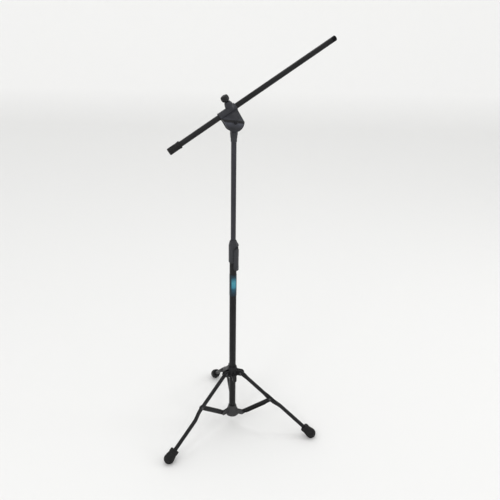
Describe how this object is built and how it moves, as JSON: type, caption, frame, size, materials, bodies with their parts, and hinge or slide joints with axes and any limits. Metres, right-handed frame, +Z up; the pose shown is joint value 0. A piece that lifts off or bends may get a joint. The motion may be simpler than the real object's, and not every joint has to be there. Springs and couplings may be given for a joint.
{
  "type": "boom microphone stand",
  "caption": "Folding tripod stand with a telescopic column, a squeeze height clutch and a tilting, sliding boom that carries a microphone.",
  "frame": {"origin": "on the floor, on the column's axis, between the three feet", "axes": "+Z up along the column; +X horizontal, the way the boom's tip leans; +Y to the left when looking along +X"},
  "size_m": [0.5802, 0.4732, 1.291],
  "materials": {
    "leg_paint": "satin black powder coat",
    "tube_paint": "semi-gloss black paint",
    "label": "plain blue printed film",
    "grey_plastic": "dark blue-grey moulded plastic",
    "black_plastic": "black moulded plastic",
    "rubber": "black rubber",
    "zinc": "zinc-plated steel",
    "dark_steel": "black-oxide steel",
    "nylon": "natural nylon"
  },
  "bodies": {
    "base": {"lower_tube": "leg_paint", "label_band": "label", "column_end_plug": "black_plastic", "spreader_hub": "grey_plastic", "arm_rivet_1": "zinc", "arm_rivet_2": "zinc", "arm_rivet_3": "zinc", "clutch_body": "grey_plastic", "clutch_pin": "zinc", "clutch_pad": "nylon"},
    "clutch_lever_body": {"clutch_lever": "grey_plastic"},
    "column_slide": {"upper_tube_guide": "nylon"},
    "upper_column": {"upper_tube": "tube_paint", "swivel_base": "grey_plastic", "swivel_washer_front": "nylon", "swivel_washer_rear": "nylon"},
    "swivel": {"swivel_head": "grey_plastic", "tilt_bolt": "dark_steel", "tilt_nut": "dark_steel", "boom_clamp_pad": "nylon"},
    "boom_clamp": {"boom_clamp_screw": "zinc", "boom_knob": "black_plastic"},
    "boom_roll": {"boom_liner": "nylon"},
    "boom": {"boom_tube": "leg_paint", "boom_tail_cap": "rubber", "boom_thread": "dark_steel"},
    "sliding_hub": {"leg_hub": "grey_plastic", "leg_bolt_1": "zinc", "leg_bolt_2": "zinc", "leg_bolt_3": "zinc", "leg_nut_1": "zinc", "leg_nut_2": "zinc", "leg_nut_3": "zinc"},
    "hub_clamp": {"hub_clamp_screw": "zinc", "hub_knob": "black_plastic"},
    "arm_1": {"spreader_arm_1": "leg_paint"},
    "leg_assembly_1": {"leg_1": "leg_paint", "foot_1": "rubber", "brace_rivet_1": "zinc"},
    "arm_2": {"spreader_arm_2": "leg_paint"},
    "leg_assembly_2": {"leg_2": "leg_paint", "foot_2": "rubber", "brace_rivet_2": "zinc"},
    "arm_3": {"spreader_arm_3": "leg_paint"},
    "leg_assembly_3": {"leg_3": "leg_paint", "foot_3": "rubber", "brace_rivet_3": "zinc"}
  },
  "joints": [
    {"name": "clutch_squeeze", "type": "hinge", "parent": "base", "child": "clutch_lever_body", "pos_m": [0.01025, -0.00341, 0.671], "axis": [-0.3156, -0.9489, 0], "range_deg": [0, 20]},
    {"name": "column_height", "type": "slide", "parent": "base", "child": "column_slide", "axis": [0, 0, 1], "range_m": [-0.3, 0.2]},
    {"name": "column_turn", "type": "hinge", "parent": "column_slide", "child": "upper_column", "pos_m": [0, 0, 1.028], "axis": [0, 0, 1], "continuous": true},
    {"name": "boom_tilt", "type": "hinge", "parent": "upper_column", "child": "swivel", "pos_m": [0, 0, 1.058], "axis": [0, -1, 0], "range_deg": [-121.4, 58.6]},
    {"name": "boom_clamp_turn", "type": "hinge", "parent": "swivel", "child": "boom_clamp", "pos_m": [-0.02168, 0, 1.11424], "axis": [-0.521, 0, 0.8536], "continuous": true},
    {"name": "boom_roll", "type": "hinge", "parent": "swivel", "child": "boom_roll", "pos_m": [-0.01777, 0, 1.08711], "axis": [0.8536, 0, 0.521], "continuous": true},
    {"name": "boom_slide", "type": "slide", "parent": "boom_roll", "child": "boom", "axis": [0.8536, 0, 0.521], "range_m": [-0.33, 0.13]},
    {"name": "tripod_fold", "type": "hinge", "parent": "base", "child": "arm_1", "pos_m": [-0.03279, -0.01487, 0.0575], "axis": [-0.4131, 0.9107, 0], "range_deg": [0, 55.5]},
    {"name": "leg_fold_1", "type": "hinge", "parent": "arm_1", "child": "leg_assembly_1", "pos_m": [-0.12394, -0.05622, 0.1331], "axis": [0.4131, -0.9107, 0], "range_deg": [0, 106.62]},
    {"name": "arm_fold_2", "type": "hinge", "parent": "base", "child": "arm_2", "pos_m": [0.02927, -0.02096, 0.0575], "axis": [-0.5821, -0.8131, 0], "range_deg": [0, 55.5]},
    {"name": "leg_fold_2", "type": "hinge", "parent": "arm_2", "child": "leg_assembly_2", "pos_m": [0.11066, -0.07923, 0.1331], "axis": [0.5821, 0.8131, 0], "range_deg": [0, 106.62]},
    {"name": "arm_fold_3", "type": "hinge", "parent": "base", "child": "arm_3", "pos_m": [0.00351, 0.03583, 0.0575], "axis": [0.9952, -0.0976, 0], "range_deg": [0, 55.5]},
    {"name": "leg_fold_3", "type": "hinge", "parent": "arm_3", "child": "leg_assembly_3", "pos_m": [0.01328, 0.13545, 0.1331], "axis": [-0.9952, 0.0976, 0], "range_deg": [0, 106.62]},
    {"name": "hub_lift", "type": "hinge", "parent": "leg_assembly_1", "child": "sliding_hub", "pos_m": [-0.02778, -0.0126, 0.218], "axis": [-0.4131, 0.9107, 0], "range_deg": [0, 51.12]},
    {"name": "hub_clamp_turn", "type": "hinge", "parent": "sliding_hub", "child": "hub_clamp", "pos_m": [-0.00232, -0.02369, 0.207], "axis": [-0.0976, -0.9952, 0], "continuous": true}
  ],
  "couplings": [
    {"joint": "arm_fold_2", "follows": "tripod_fold", "ratio": 1},
    {"joint": "arm_fold_3", "follows": "tripod_fold", "ratio": 1},
    {"joint": "leg_fold_1", "follows": "tripod_fold", "ratio": 1.921},
    {"joint": "leg_fold_2", "follows": "tripod_fold", "ratio": 1.921},
    {"joint": "leg_fold_3", "follows": "tripod_fold", "ratio": 1.921},
    {"joint": "hub_lift", "follows": "tripod_fold", "ratio": 0.921}
  ]
}
